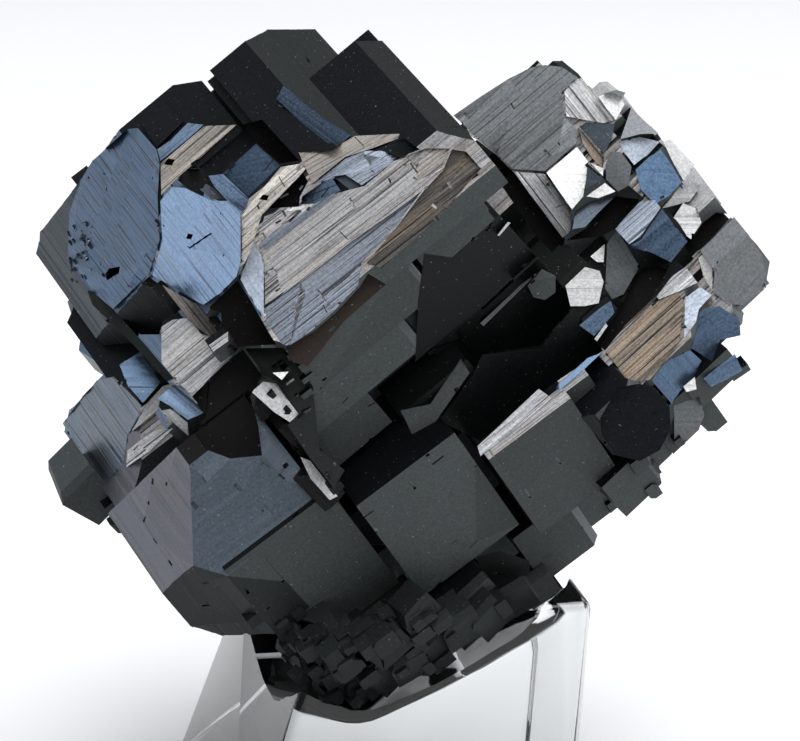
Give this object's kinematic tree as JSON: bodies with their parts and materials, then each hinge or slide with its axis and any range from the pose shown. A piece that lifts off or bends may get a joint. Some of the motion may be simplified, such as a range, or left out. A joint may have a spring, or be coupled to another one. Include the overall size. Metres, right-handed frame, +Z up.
{
  "type": "mineral specimen",
  "caption": "Magnetite specimen: dark metallic intergrown crystals with striated faces, resting on a clear acrylic display stand.",
  "frame": {"origin": "middle of the stand's flat base", "axes": "+Z up, +X to the right of the pictured front, -Y towards the viewer of that front"},
  "size_m": [0.06, 0.0438, 0.0651],
  "materials": {
    "magnetite": "dark metallic crystal faces, striated and partly dull",
    "clear_acrylic": "polished clear acrylic"
  },
  "bodies": {
    "root": {"magnetite_crystals": "magnetite", "acrylic_stand": "clear_acrylic"}
  },
  "joints": []
}
